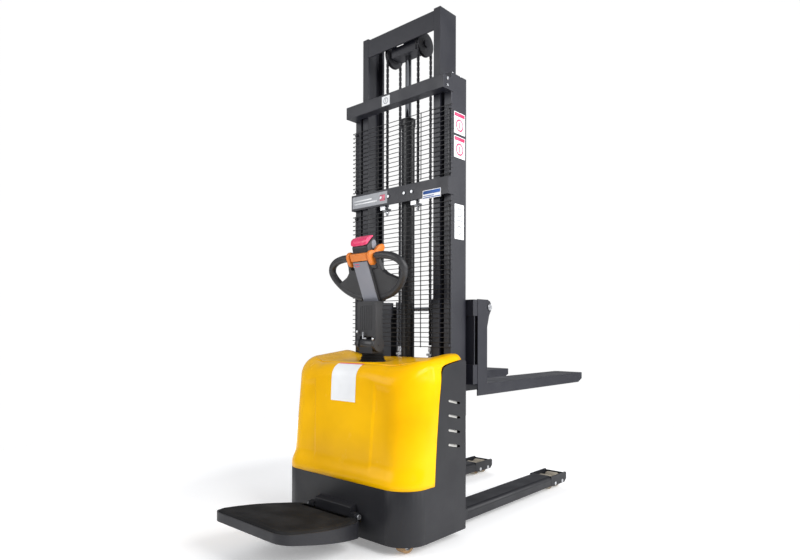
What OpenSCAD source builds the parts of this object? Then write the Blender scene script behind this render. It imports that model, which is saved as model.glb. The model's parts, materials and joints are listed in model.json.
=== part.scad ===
// Walkie stacker with ride-on platform: two-stage mast, central lift cylinder, straddle legs,
// steerable drive unit under the rear cover and a short tiller with a loop handle.
// Millimetres. +Z up, +X to the operator's right, +Y from the operator towards the fork tips.
// The outline's centre on the floor is the origin. Parts are laid out from the chassis front
// face (y = 0 in the layout) and then centred by place().

/* [Chassis] */
// Overall width of the chassis
chassis_w = 800; // [780:10:840]
// Length of the chassis behind its front face
chassis_l = 395; // [385:5:420]
// Radius of the two rear corners
corner_r = 120; // [110:5:130]
// Height of the side panels
panel_h = 777; // [770:1:790]
// Clearance under the chassis
chassis_clear = 40; // [35:1:50]
// Height where the rear cover starts
cover_z = 264; // [262:1:268]

/* [Mast] */
// Height of the outer mast
mast_h = 2080; // [2060:10:2160]
// Height the inner mast stands above its lowest position, as drawn
raised = 283; // [250:1:320]
// Overall width across the outer mast
mast_w = 620; // [616:2:624]
// Width of one mast channel's flanges
flange_w = 40; // [38:1:42]
// Pitch of the guard's wires
wire_pitch = 22; // [20:1:26]

/* [Forks] */
// Length of the forks ahead of the carriage
fork_l = 1122; // [1080:2:1150]
// Width of one fork
fork_w = 180; // [176:2:184]
// Width over both forks
fork_over = 694; // [690:2:700]
// Depth of a fork's section
fork_t = 55; // [52:1:58]
// Height of the forks' top face when fully lowered
fork_low = 95; // [95:1:100]

/* [Tiller] */
// Lean of the tiller head against the upright arm
head_lean = 22; // [15:1:28]
// Half width over the loop handle
grip_half = 247; // [235:1:255]

/* [Platform] */
// Length of the ride-on platform behind its hinge line
platform_l = 438; // [400:2:450]
// Width of the ride-on platform
platform_w = 490; // [460:5:500]

/* [Hidden] */
$fn = 64;
sheet = 5;
front_y = 0;
rear_y = -chassis_l;
half_w = chassis_w / 2;

fork_tip_y = 168 + fork_l;
platform_rear_y = -430 - platform_l;
mid_y = (fork_tip_y + platform_rear_y) / 2;

// Outer mast channel
mast_half = mast_w / 2;
mast_y0 = 6;
mast_y1 = 122.5;
flange_t = 14;
web_t = 8;
base_top = 55;

// Inner mast channel, drawn at the raised height
inner_half = 251.5;
inner_y0 = -1;
inner_y1 = 119;
inner_bottom = 60 + raised;
inner_top = 2113.5 + raised;

// Chain sheaves on the inner mast
pulley_x = 100;
pulley_y = 70;
pulley_z = 2008 + raised;
pulley_r = 57;
chain_r = 47.5;
chain_t = 9;
chain_w = 11;

// Lift cylinder
cyl_y = 66;
cyl_top = 1950;
cyl_r = 32.5;
rod_r = 15;
fit = 0.05;

// Forks and carriage, drawn at the raised height
fork_top = fork_low + 2 * raised;
fork_bot = fork_top - fork_t;
carriage_y0 = 132;
shank_y0 = 168;
shank_y1 = 246;
shank_top = fork_top + 398;
shaft_y = 262;
shaft_z = shank_top - 36;
shaft_r = 11;
roller_lo = 194 + 2 * raised;
roller_hi = roller_lo + 240;

// Support legs and load wheels
leg_in = 190;
leg_out = 324;
leg_mid = (leg_in + leg_out) / 2;
leg_top = 85;
leg_bot = 33;
leg_tip = 1112;
load_y = [982, 1065];
load_r = 40;

// Drive unit and steering axis
steer_y = -180;
drive_r = 110;
shelf_z = 252;
slew_top = 272;

// Cooling slots in the side panels
slot_z = 416.5;
slot_pitch = 62.5;
slot_tilt = 12.5;
slot_half = 37;
slot_r = 5;

// Tray in the cover's roof
tray_z = 767;
tray_slope = 6.8;

// Tiller
pivot_y = -199;
pivot_z = 848;
cheek_r = 34;
arm_half = 60;
arm_top = 1044;
plate_foot = [0, -198.5, 1060];
shaft_s = 195;
shaft_d = 30;

// Ride-on platform
hinge_y = -418;
hinge_z = 135;
platform_top = [128, 186];
platform_bottom = [60, 150];
platform_widest = 0.6;
platform_neck = 62;
platform_taper = 22;
platform_rim = 6;

// Balance casters
caster_x = 318;
caster_y = -288;
caster_r = 40;
caster_trail = 24;

paint = [0.24, 0.25, 0.27];
steel = [0.75, 0.76, 0.78];
black = [0.10, 0.10, 0.11];

// ---- helpers ----

// Centres the layout on the origin
module place() {
    translate([0, -mid_y, 0]) children();
}

// Box from its low corner to its high corner
module box(a, b) {
    translate(a) cube(b - a);
}

// The same box on both sides of the centre plane
module side_boxes(a, b) {
    box(a, b);
    mirror([1, 0, 0]) box(a, b);
}

// Rod along X, centred on x
module rod_x(x, y, z, r, l) {
    translate([x, y, z]) rotate([0, 90, 0]) cylinder(r = r, h = l, center = true);
}

// Rod along Y, from y upwards
module rod_y(x, y, z, r, l) {
    translate([x, y, z]) rotate([-90, 0, 0]) cylinder(r = r, h = l);
}

// A side profile given as [y, z] points, from x0 to x1
module side_profile(x0, x1) {
    translate([x0, 0, 0]) rotate([90, 0, 90]) linear_extrude(x1 - x0) children();
}

// Plan of the chassis: square front, two round rear corners
module plan(inset = 0, rear = rear_y, r = corner_r, half = half_w) {
    w = half - inset;
    q = r - inset;
    y = rear + inset;
    translate([-w, y + q]) square([2 * w, front_y - y - q]);
    translate([q - w, y]) square([2 * (w - q), q + 1]);
    for (s = [-1, 1]) translate([s * (w - q), y + q]) circle(q);
}

// ---- chassis ----

// Joint line between cover and side panel, as [y, z] points from the bottom up
seam = [[-218, cover_z], [-212, 362], [-204, 459], [-190, 604], [-176, 702], [-171, 738],
    [-160, 756], [-140, 765], [-101, 773], [-20, 785]];

// Cooling slots in the side panels, sloping down towards the front
module louvre_slots() {
    for (k = [0 : 3], s = [-1, 1]) {
        translate([s * half_w, -84, slot_z + slot_pitch * k]) rotate([-slot_tilt, 0, 0]) {
            translate([-10, -slot_half, -slot_r]) cube([20, 2 * slot_half, 2 * slot_r]);
            for (y = [-slot_half, slot_half]) rod_x(0, y, 0, slot_r, 20);
        }
    }
}

module side_panels() {
    difference() {
        for (x = [-half_w, half_w - sheet]) side_profile(x, x + sheet) translate([2, -2])
            polygon(concat([[-2, cover_z - 4], [-220, cover_z - 4]], seam, [[-2, panel_h + 2]]));
        louvre_slots();
    }
}

module chassis_frame() color(paint) place() {
    difference() {
        union() {
            difference() {
                translate([0, 0, chassis_clear]) linear_extrude(cover_z - chassis_clear) plan();
                translate([0, 0, chassis_clear - 1]) linear_extrude(cover_z) plan(sheet);
                box([-half_w - 1, -sheet, 0], [half_w + 1, 1, cover_z + 1]);
            }
            side_panels();
            intersection() {
                translate([0, 0, shelf_z]) linear_extrude(8) plan(sheet - 1);
                box([-half_w, rear_y, shelf_z], [half_w, -26, shelf_z + 8]);
            }
            caster_decks();
        }
        translate([0, steer_y, shelf_z - 1]) cylinder(r = 100, h = 10);
    }
    side_boxes([mast_half + 5, -sheet, chassis_clear], [half_w, 0, panel_h]);
    side_boxes([mast_half - 60, -30, chassis_clear], [mast_half + 9, -26, 620]);
    side_boxes([mast_half + 5, -30, chassis_clear], [mast_half + 9, -sheet, 620]);
}

// Decks that carry the balance casters
module caster_decks() {
    intersection() {
        translate([0, 0, 134]) linear_extrude(8) plan(sheet - 1);
        side_boxes([238, rear_y, 130], [half_w, -200, 150]);
    }
}

// Outer body of the cover, with its walls and roof moved in by t
module cover_body(t) {
    union() {
        translate([0, 0, cover_z - 2]) linear_extrude(40) plan(t);
        hull() {
            translate([0, 0, 300]) linear_extrude(2) plan(t);
            translate([0, 0, 328]) linear_extrude(2) plan(t, rear_y + 16, 132);
        }
        hull() {
            translate([0, 0, 328]) linear_extrude(2) plan(t, rear_y + 16, 132);
            translate([0, 0, 690]) linear_extrude(2) plan(t, rear_y + 32, 162);
            translate([0, 0, 745 - t]) linear_extrude(2) plan(t, rear_y + 46, 164);
            translate([0, 0, 782 - t]) linear_extrude(2) plan(t, rear_y + 74, 160, half_w - 10);
            translate([0, 0, 808 - t]) linear_extrude(1) plan(t, rear_y + 125, 150, half_w - 34);
        }
    }
}

// Space kept free above the roof: a slope up towards the front, and a tray between the shoulders
// that slopes with it and is level around the tiller boot
module cover_top_cut(t) {
    side_profile(-half_w - 1, half_w + 1)
        polygon([[-420, 761 - t], [-20, 809 - t], [20, 809 - t], [20, 900], [-420, 900]]);
    difference() {
        translate([0, -20, tray_z + 19 - t]) rotate([90 + tray_slope, 0, 0]) linear_extrude(322)
            polygon([[-330, 25], [-215, 0], [215, 0], [330, 25], [330, 120], [-330, 120]]);
        translate([0, steer_y, 700]) cylinder(r = 66, h = tray_z - t - 700);
    }
    translate([0, steer_y, tray_z - t]) cylinder(r = 66, h = 100);
}

module rear_cover() color([0.98, 0.75, 0.05]) place() {
    difference() {
        cover_body(0);
        difference() {
            cover_body(4);
            cover_top_cut(4);
        }
        cover_top_cut(0);
        side_profile(-half_w - 1, half_w + 1)
            polygon(concat([[40, 200], [-218, 200]], seam, [[-20, 900], [40, 900]]));
        box([-half_w - 1, rear_y - 1, 200], [half_w + 1, 40, cover_z + 1]);
        translate([0, steer_y, 700]) cylinder(r = 45, h = 100);
    }
}

module batteries() color([0.16, 0.16, 0.18]) place() {
    for (s = [-1, 1]) translate([s * 271 - 80, -285, shelf_z + 8]) {
        cube([160, 245, 200]);
        for (y = [35, 210]) translate([s * 45 + 80, y, 200]) cylinder(r = 9, h = 16);
    }
}

module power_pack() color([0.55, 0.57, 0.60]) place() {
    box([-368, -250, 500], [-190, -60, 512]);
    side_boxes([190, -240, 476], [196, -70, 484]);
    box([-360, -245, 512], [-230, -150, 660]);
    rod_y(-295, -150, 585, 46, 85);
}

// ---- ride-on platform ----

module platform_bracket() color(paint) place() {
    difference() {
        side_profile(-114, 114)
            polygon([[rear_y, 76], [-428, 88], [-428, 167], [-425, 170], [rear_y, 177]]);
        rod_x(0, hinge_y, hinge_z, 8 + fit, 300);
    }
}

module platform_pin() color(steel) place() {
    rod_x(0, hinge_y, hinge_z, 8, 314);
    for (s = [-1, 1]) rod_x(s * 158, hinge_y, hinge_z, 11, 6);
}

// Half width of the platform at the share t of its length, from hinge to rear edge: a neck at the
// hinge widens to the middle and narrows a little again
function platform_half(t) = platform_w / 2 - (t < platform_widest
    ? platform_neck * pow(1 - t / platform_widest, 2)
    : platform_taper * pow((t - platform_widest) / (1 - platform_widest), 2));

// Plan of the platform, notched around the hinge bracket
module platform_plan(inset = 0) {
    side = [for (k = [0 : 16]) [platform_half(k / 16), -430 - (platform_l * k) / 16]];
    difference() {
        offset(delta = -inset) offset(r = 62) offset(delta = -62) polygon(concat(side,
            [for (k = [16 : -1 : 0]) [-side[k][0], side[k][1]]]));
        translate([-118 - inset, -458 - inset]) square([236 + 2 * inset, 60]);
    }
}

// Slice of the platform between two sloping planes, each given by its heights at hinge and rear edge
module platform_slice(low, high) {
    side_profile(-300, 300)
        polygon([[-429, low[0]], [-429, high[0]], [platform_rear_y - 1, high[1]],
            [platform_rear_y - 1, low[1]]]);
}

module platform() color(paint) place() {
    difference() {
        union() {
            intersection() {
                translate([0, 0, 40]) linear_extrude(200) platform_plan();
                platform_slice(platform_bottom, platform_top);
            }
            side_boxes([118, -436, 100], [150, hinge_y, 149]);
            for (s = [-1, 1]) rod_x(s * 134, hinge_y, hinge_z, 16, 32);
        }
        intersection() {
            linear_extrude(300) platform_plan(platform_rim);
            platform_slice([0, 0], platform_top - [16, 16]);
        }
        intersection() {
            linear_extrude(300) platform_plan(platform_rim);
            platform_slice(platform_top - [10, 10], [300, 300]);
        }
        rod_x(0, hinge_y, hinge_z, 8 + fit, 400);
    }
}

module platform_mat() color(black) place() {
    intersection() {
        translate([0, 0, 40]) linear_extrude(200) platform_plan(platform_rim + 0.3);
        platform_slice(platform_top - [9.7, 9.7], platform_top - [1, 1]);
    }
}

// ---- base, legs and wheels on the floor ----

module mast_base() color(paint) place() {
    box([-mast_half, -24, 37], [mast_half, 125, base_top]);
    side_boxes([mast_half - 1, 3, leg_bot], [leg_out, 125, base_top]);
    side_boxes([mast_half + 2, 3, base_top - 1], [leg_out, 125, leg_top]);
}

// Inverted channel with round shoulders, as a plan in x and z
module leg_section(inset = 0) {
    r = 20 - inset;
    x0 = leg_in + inset;
    x1 = leg_out - inset;
    top = leg_top - inset;
    translate([x0, leg_bot]) square([x1 - x0, top - r - leg_bot]);
    translate([x0 + r, top - r - 1]) square([x1 - x0 - 2 * r, r + 1]);
    for (x = [x0 + r, x1 - r]) translate([x, top - r]) circle(r);
}

module leg_tip_side(x0, x1) {
    side_profile(x0, x1)
        polygon([[930, leg_bot], [950, 29], [leg_tip - 20, 29], [leg_tip, 46], [leg_tip, 78],
            [leg_tip - 7, leg_top], [930, leg_top]]);
}

module leg_right_shape() {
    difference() {
        union() {
            translate([0, 945, 0]) rotate([90, 0, 0]) linear_extrude(820) difference() {
                leg_section();
                translate([0, -7]) leg_section(6);
                translate([leg_in + 6, leg_bot - 1]) square([leg_out - leg_in - 12, 12]);
            }
            leg_tip_side(leg_in - 1, leg_in + 7);
            leg_tip_side(leg_out - 7, leg_out + 1);
            box([leg_in - 1, 930, leg_top - 6], [leg_out + 1, 944, leg_top]);
            box([leg_in - 1, leg_tip - 5.5, 48], [leg_out + 1, leg_tip, 78]);
        }
        for (y = load_y) rod_x(leg_mid, y, load_r, 10 + fit, 200);
    }
}

module leg_right() color(paint) place() leg_right_shape();

module leg_left() color(paint) place() mirror([1, 0, 0]) leg_right_shape();

module load_axles() color(steel) place() {
    for (s = [-1, 1], y = load_y) {
        rod_x(s * leg_mid, y, load_r, 10, 138);
    }
}

module load_wheel(s, y) {
    difference() {
        union() {
            rod_x(s * leg_mid, y, load_r, load_r, 68);
            rod_x(s * leg_mid, y, load_r, 18, 76);
        }
        rod_x(s * leg_mid, y, load_r, 10 + fit, 90);
        for (e = [-1, 1]) rod_x(s * leg_mid + e * 34, y, load_r, 30, 6);
    }
    for (e = [-1, 1]) difference() {
        rod_x(s * leg_mid + e * 34.5, y, load_r, 18, 7);
        rod_x(s * leg_mid + e * 34.5, y, load_r, 10 + fit, 9);
    }
}

module load_wheel_fl() color([0.45, 0.42, 0.38]) place() load_wheel(-1, load_y[1]);

module load_wheel_fr() color([0.45, 0.42, 0.38]) place() load_wheel(1, load_y[1]);

module load_wheel_rl() color([0.45, 0.42, 0.38]) place() load_wheel(-1, load_y[0]);

module load_wheel_rr() color([0.45, 0.42, 0.38]) place() load_wheel(1, load_y[0]);

// ---- outer mast ----

module outer_column(s) mirror([s < 0 ? 1 : 0, 0, 0]) {
    translate([0, 0, base_top]) linear_extrude(mast_h - base_top) union() {
        translate([mast_half - web_t, mast_y0]) square([web_t, mast_y1 - mast_y0]);
        translate([mast_half - flange_w, mast_y0]) square([flange_w, flange_t]);
        translate([mast_half - flange_w, mast_y1 - flange_t]) square([flange_w, flange_t]);
    }
    box([mast_half - flange_w, mast_y0, mast_h - 8], [mast_half, mast_y1, mast_h]);
}

module outer_column_left() color(paint) place() outer_column(-1);

module outer_column_right() color(paint) place() outer_column(1);

module top_beam() color(paint) place() {
    difference() {
        box([-mast_half, -58, 1992], [mast_half, -8, 2052]);
        box([-mast_half - 1, -54, 1996], [mast_half + 1, -12, 2048]);
    }
    side_boxes([mast_half - 38, -8, 1996], [mast_half, mast_y0, 2048]);
    side_boxes([mast_half, -58, 1992], [mast_half + 4, 22, 2052]);
}

module mid_beam() color(paint) place() {
    box([-mast_half, -20, 1526], [mast_half, -14, 1606]);
    for (z = [1526, 1601]) box([-mast_half, -14, z], [mast_half, -11, z + 5]);
    side_boxes([mast_half - 25, -14, 1531], [mast_half, mast_y0, 1601]);
    side_boxes([mast_half, -20, 1526], [mast_half + 4, 24, 1606]);
}

module lower_beam() color(paint) place() {
    box([-mast_half, -50, 660], [mast_half, -20, 716]);
    side_boxes([mast_half - 38, -20, 664], [mast_half, mast_y0, 712]);
}

// One panel of horizontal wires on four uprights, from z0 to z1
module guard_panel(z0, z1) {
    wire = 1.8;
    for (z = [z0 : wire_pitch : z1]) translate([0, -6, z]) rotate([0, 90, 0])
        cylinder(r = wire, h = 644, center = true, $fn = 8);
    for (x = [-300, -140, 140, 300]) translate([x, -3.4, z0 - 4])
        cylinder(r = wire, h = z1 - z0 + 8, $fn = 8);
    for (x = [-300, 300], z = [z0 + 4, z1 - 12]) box([x - 5, -4, z], [x + 5, mast_y0, z + 8]);
}

module mesh_guard() color(black) place() {
    guard_panel(836, 1496);
    guard_panel(1622, 1930);
}

module lift_cylinder() color(black) place() {
    difference() {
        union() {
            translate([0, cyl_y, base_top]) cylinder(r = cyl_r, h = cyl_top - base_top - 20);
            translate([0, cyl_y, cyl_top - 34]) cylinder(r = 36, h = 34);
            translate([0, cyl_y, base_top]) cylinder(r = 38, h = 30);
        }
        translate([0, cyl_y, base_top + 25]) cylinder(r = 27, h = cyl_top - base_top - 55);
        translate([0, cyl_y, cyl_top - 40]) cylinder(r = rod_r + fit, h = 50);
    }
}

module chain_anchors() color(steel) place() {
    for (s = [-1, 1]) translate([s * pulley_x, 0, 0]) {
        box([-16, -11, 1506], [16, 34, 1516]);
        box([-16, -11, 1506], [16, -8, 1562]);
        translate([0, pulley_y - chain_r, 1484]) cylinder(r = 6, h = 62);
        translate([0, pulley_y - chain_r, 1494]) cylinder(r = 10, h = 12, $fn = 6);
        box([-7, pulley_y - chain_r - 6, 1526], [7, pulley_y - chain_r + 6, 1552]);
    }
}

// Hex bolt head along Y, facing the operator
module head_y(x, y, z, r) {
    translate([x, y, z]) rotate([90, 0, 0]) cylinder(r = r, h = 6, $fn = 6);
}

module beam_bolts() color(steel) place() {
    for (s = [-1, 1]) {
        for (x = [52, 100]) head_y(s * x, -20, 1566, 8);
        for (y = [34, 96]) translate([s * (mast_half - 18), y, mast_h]) cylinder(r = 8, h = 9, $fn = 6);
        for (z = [2008, 2038]) translate([s * (mast_half + 4), -30, z]) rotate([0, s * 90, 0])
            cylinder(r = 7, h = 5, $fn = 6);
    }
}

// ---- inner mast ----

module inner_column(s) mirror([s < 0 ? 1 : 0, 0, 0]) {
    translate([0, 0, inner_bottom]) linear_extrude(inner_top - inner_bottom) union() {
        translate([inner_half - web_t, inner_y0]) square([web_t, inner_y1 - inner_y0]);
        translate([inner_half - 38.5, inner_y0]) square([38.5, flange_t]);
        translate([inner_half - 38.5, inner_y1 - flange_t]) square([38.5, flange_t]);
    }
    box([inner_half - 38.5, inner_y0, inner_top - 8], [inner_half, inner_y1, inner_top]);
    rod_x(inner_half + 23.5, 64.25, inner_bottom + 60, 12, 47);
}

module inner_column_left() color(paint) place() inner_column(-1);

module inner_column_right() color(paint) place() inner_column(1);

module inner_beams() color(paint) place() {
    w = inner_half - 38.5;
    box([-w, inner_y0, inner_top - 97], [w, inner_y0 + 8, inner_top - 9]);
    box([-w, inner_y0 + 8, inner_top - 17], [w, 52, inner_top - 9]);
    box([-w, 105, inner_bottom], [w, 117, inner_bottom + 60]);
}

module pulley_bracket() color(paint) place() {
    pin_r = 12;
    difference() {
        box([-78, 28, pulley_z - 27], [78, 36, inner_top - 17]);
        box([-50, 20, pulley_z + 19], [0, 40, pulley_z + 31]);
        rod_y(62, 20, pulley_z + 27, 4, 30);
    }
    box([-78, 36, pulley_z - 27], [78, 104, pulley_z - 17]);
    side_boxes([70, 36, pulley_z - 17], [78, 104, pulley_z + 26]);
    rod_x(0, pulley_y, pulley_z, pin_r, 236);
    for (s = [-1, 1]) {
        rod_x(s * 84, pulley_y, pulley_z, 18, 10);
        rod_x(s * 115, pulley_y, pulley_z, 18, 6);
    }
}

module pulley(s) {
    translate([s * pulley_x, pulley_y, pulley_z]) rotate([0, 90, 0]) rotate_extrude()
        polygon([[12 + fit, -10.5], [30, -10.5], [30, -9], [pulley_r, -9], [pulley_r, -7],
            [43, -6], [43, 6], [pulley_r, 7], [pulley_r, 9], [30, 9], [30, 10.5], [12 + fit, 10.5]]);
}

module pulley_left() color([0.2, 0.2, 0.22]) place() pulley(-1);

module pulley_right() color([0.2, 0.2, 0.22]) place() pulley(1);

module piston_rod() color(steel) place() {
    translate([0, cyl_y, 120 + raised]) cylinder(r = rod_r, h = pulley_z - 27 - 120 - raised);
    translate([0, cyl_y, 120 + raised]) cylinder(r = 27 - fit, h = 40);
}

// Strand from z0 up to the sheave, at side s and layout depth y
module strand(s, y, z0) {
    box([s * pulley_x - chain_w / 2, y - chain_t / 2, z0],
        [s * pulley_x + chain_w / 2, y + chain_t / 2, pulley_z - 0.5]);
}

module rear_chains() color([0.3, 0.3, 0.32]) place() {
    for (s = [-1, 1]) strand(s, pulley_y - chain_r, 1553);
}

module front_chains() color([0.3, 0.3, 0.32]) place() {
    for (s = [-1, 1]) {
        strand(s, pulley_y + chain_r, roller_lo + 72);
        difference() {
            rod_x(s * pulley_x, pulley_y, pulley_z, chain_r + chain_t / 2, chain_w);
            rod_x(s * pulley_x, pulley_y, pulley_z, chain_r - chain_t / 2 + 0.3, chain_w + 2);
            translate([s * pulley_x - 20, 0, pulley_z - 100.5]) cube([40, 200, 100]);
        }
    }
}

module mast_rollers() color(steel) place() {
    for (s = [-1, 1]) difference() {
        rod_x(s * 280, 64.25, inner_bottom + 60, 42, 35);
        rod_x(s * 280, 64.25, inner_bottom + 60, 12 + fit, 40);
    }
}

// ---- carriage and forks ----

module carriage_frame() color(paint) place() {
    bar_w = fork_over / 2 - 2;
    bar_y1 = shank_y0;
    lo = fork_top;
    box([-bar_w, carriage_y0, lo], [bar_w, bar_y1, lo + 91]);
    side_boxes([190, carriage_y0, lo + 319], [bar_w, bar_y1, lo + 395]);
    side_boxes([202, 140, lo + 91], [bar_w, 146, lo + 319]);
    side_boxes([190, 15, lo + 39], [202, 150, lo + 394]);
    for (s = [-1, 1], z = [roller_lo, roller_hi]) rod_x(s * 222, 59, z, 13, 40);
}

module carriage_roller_pair(z) {
    for (s = [-1, 1]) difference() {
        rod_x(s * 228, 59, z, 44, 25);
        rod_x(s * 228, 59, z, 13 + fit, 30);
    }
}

module carriage_rollers_top() color(steel) place() carriage_roller_pair(roller_hi);

module carriage_rollers_low() color(steel) place() carriage_roller_pair(roller_lo);

module carriage_anchors() color(steel) place() {
    z = roller_lo + 38;
    for (s = [-1, 1]) translate([s * pulley_x, 0, 0]) {
        box([-16, carriage_y0, fork_top + 91], [16, carriage_y0 + 8, z]);
        box([-16, 108, z - 10], [16, carriage_y0, z]);
        translate([0, pulley_y + chain_r, z - 34]) cylinder(r = 6, h = 62);
        translate([0, pulley_y + chain_r, z - 22]) cylinder(r = 10, h = 12, $fn = 6);
        box([-7, pulley_y + chain_r - 6, z + 8], [7, pulley_y + chain_r + 6, z + 33]);
    }
}

// Fork drawn on the right; the shank's two cheeks carry the fork shaft
module fork_shape() {
    x1 = fork_over / 2;
    x0 = x1 - fork_w;
    t = 6;
    cheek = [[shank_y0, fork_top - 1], [shank_y0, shank_top], [250, shank_top], [270, shank_top - 8],
        [280, shank_top - 24], [280, shank_top - 48], [262, shank_top - 76],
        [shank_y1, shank_top - 130], [shank_y1, fork_top - 1]];
    blade = [[shank_y0, fork_bot], [fork_tip_y - 68, fork_bot], [fork_tip_y - 5, fork_bot + 26],
        [fork_tip_y, fork_bot + 34], [fork_tip_y, fork_bot + 45], [fork_tip_y - 8, fork_top],
        [shank_y0, fork_top]];
    difference() {
        union() {
            for (x = [x0, x1 - t]) side_profile(x, x + t) polygon(cheek);
            box([x0, shank_y1 - 8, fork_top - 1], [x1, shank_y1, shank_top - 20]);
            difference() {
                side_profile(x0, x1) polygon(blade);
                translate([x0 + t, shank_y0 - 1, fork_bot - 1])
                    cube([fork_w - 2 * t, fork_l - 31, fork_t - t + 1]);
                for (x = [x0, x1]) translate([x, fork_tip_y, 0]) rotate([0, 0, 45])
                    cube([30, 30, 2000], center = true);
            }
        }
        rod_x((x0 + x1) / 2, shaft_y, shaft_z, shaft_r + 0.1, fork_w + 20);
    }
}

module fork_right() color(paint) place() fork_shape();

module fork_left() color(paint) place() mirror([1, 0, 0]) fork_shape();

module fork_shaft() color(steel) place() {
    rod_x(0, shaft_y, shaft_z, shaft_r, fork_over + 10);
    for (s = [-1, 1]) rod_x(s * (fork_over / 2 + 3), shaft_y, shaft_z, 15, 5.6);
}

// ---- drive unit and steering ----

module drive_housing() color(black) place() {
    difference() {
        union() {
            translate([0, steer_y, slew_top - 30]) cylinder(r = 90, h = 30);
            box([-86, steer_y - 70, slew_top - 46], [60, steer_y + 70, slew_top - 30]);
            side_profile(-86, -42) union() {
                translate([steer_y, drive_r]) circle(58);
                translate([steer_y - 50, drive_r]) square([100, slew_top - 46 - drive_r]);
            }
        }
        translate([0, steer_y, slew_top - 10]) cylinder(r = 70, h = 20);
    }
    rod_x(-6, steer_y, drive_r, 15, 76);
}

module drive_motor() color([0.35, 0.36, 0.38]) place() {
    translate([0, steer_y - 85, slew_top + 2]) cylinder(r = 57, h = 150);
    translate([0, steer_y - 85, slew_top + 152]) cylinder(r = 44, h = 34);
    difference() {
        translate([0, steer_y, slew_top - 10]) cylinder(r = 69, h = 12);
        translate([0, steer_y, slew_top - 12]) cylinder(r = 24.5, h = 16);
    }
}

module drive_wheel() color([0.30, 0.12, 0.08]) place() {
    difference() {
        rod_x(0, steer_y, drive_r, drive_r, 68);
        rod_x(0, steer_y, drive_r, 15 + fit, 80);
        for (s = [-1, 1]) rod_x(s * 34, steer_y, drive_r, 66, 24);
    }
    difference() {
        rod_x(0, steer_y, drive_r, 36, 60);
        rod_x(0, steer_y, drive_r, 15 + fit, 80);
    }
}

module steering_yoke() color(black) place() {
    difference() {
        union() {
            translate([0, steer_y, slew_top - 10]) cylinder(r = 24, h = 510);
            translate([0, steer_y, 762]) cylinder(r = 28, h = 50);
            box([-42, -226, 806], [42, -148, 822]);
            box([-42, -226, 822], [42, pivot_y + 30, pivot_z]);
            rod_x(0, pivot_y, pivot_z, 30, 84);
        }
        rod_x(0, pivot_y, pivot_z, 8 + fit, 100);
    }
}

module tiller_boot() color(black) place() {
    translate([0, steer_y, tray_z]) rotate_extrude()
        polygon([[29, 1], [61, 1], [61, 6], [57, 9], [59, 13], [54, 18], [56, 22], [51, 28],
            [53, 32], [49, 37], [49, 38.5], [29, 38.5]]);
}

module tiller_arm() color(black) place() {
    difference() {
        union() {
            side_boxes([43, -222, pivot_z], [arm_half, -176, 900]);
            for (s = [-1, 1]) rod_x(s * 51.5, pivot_y, pivot_z, cheek_r, 17);
            box([-arm_half, -222, pivot_z + 36], [arm_half, -176, arm_top]);
        }
        box([-54, -214, pivot_z], [54, -182, arm_top - 30]);
        for (x = [-36 : 12 : 36]) box([x - 1.5, -223, 912], [x + 1.5, -220.5, arm_top - 20]);
    }
    rod_x(0, pivot_y, pivot_z, 8, 124);
    box([-20, -222, pivot_z + 36], [2, -214, pivot_z + 44]);
}

// ---- tiller head, drawn flat and leaned back with head_frame() ----

module head_frame() {
    translate(plate_foot) rotate([head_lean, 0, 0]) children();
}

// Keeps what lies above the arm's top face
module above_arm() {
    difference() {
        children();
        box([-300, -400, arm_top - 100], [300, 0, arm_top + 0.3]);
    }
}

// Side outline of the head body in its own depth and height
module head_outline() {
    polygon([[3, -30], [3, 176], [14, 214], [16, 232], [34, 244], [56, 254], [82, 262], [86, 240],
        [78, 200], [56, 160], [46, 60], [44, -30]]);
}

module tiller_head() color(black) place() above_arm() head_frame() {
    difference() {
        side_profile(-50, 50) head_outline();
        rod_x(0, shaft_d + 12, shaft_s, 6 + fit, 120);
        box([-24, 30, 94], [24, 60, 138]);
        rod_x(0, 40, 116, 6 + fit, 70);
        rod_y(0, 40, 174, 11 + fit, 60);
        translate([0, 46, 212]) cylinder(r = 7 + fit, h = 60);
    }
}

// Flat form of the two loops and the web that joins them
module grip_plan() {
    difference() {
        union() {
            for (s = [-1, 1]) {
                hull() {
                    translate([s * 101, 188]) circle(17);
                    translate([s * 140, 188]) circle(17);
                    translate([s * (grip_half - 58), 146]) circle(58);
                    translate([s * 150, 50]) circle(24);
                    translate([s * 60, 20]) circle(30);
                }
            }
            translate([-70, -30]) square([140, 80]);
        }
        for (s = [-1, 1]) hull() {
            translate([s * 110, 160]) circle(10);
            translate([s * 140, 160]) circle(10);
            translate([s * (grip_half - 60), 140]) circle(26);
            translate([s * 110, 118]) circle(10);
            translate([s * 186, 92]) circle(10);
        }
        translate([-50, -40]) square([100, 300]);
        translate([-84, 132]) square([168, 200]);
    }
}

module grip_loops() color(black) place() above_arm() head_frame() {
    translate([0, 41, 0]) rotate([90, 0, 0]) linear_extrude(32) grip_plan();
}

module head_plate() color([0.55, 0.56, 0.58]) place() above_arm() head_frame() {
    box([-46, -2, -30], [46, 2.9, 174]);
}

// Collar outline just outside the head body
module throttle_collar() color([0.95, 0.5, 0.1]) place() head_frame() {
    difference() {
        box([-56, -5, 177], [56, 24, 211]);
        side_profile(-50.2, 50.2) offset(delta = 0.2) head_outline();
    }
}

// Rocking paddle on one side of the head, as a side outline around the shaft
module paddle_outline() {
    hull() {
        translate([12, shaft_s]) circle(22);
        translate([11, shaft_s - 22]) circle(22);
        translate([40, shaft_s]) circle(18);
    }
    hull() {
        translate([40, shaft_s + 2]) circle(14);
        translate([94, shaft_s + 14]) circle(14);
    }
}

module throttle() color([0.95, 0.5, 0.1]) place() head_frame() {
    rod_x(0, shaft_d + 12, shaft_s, 6, 130);
    for (x = [-76, 58]) side_profile(x, x + 18) paddle_outline();
}

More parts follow.
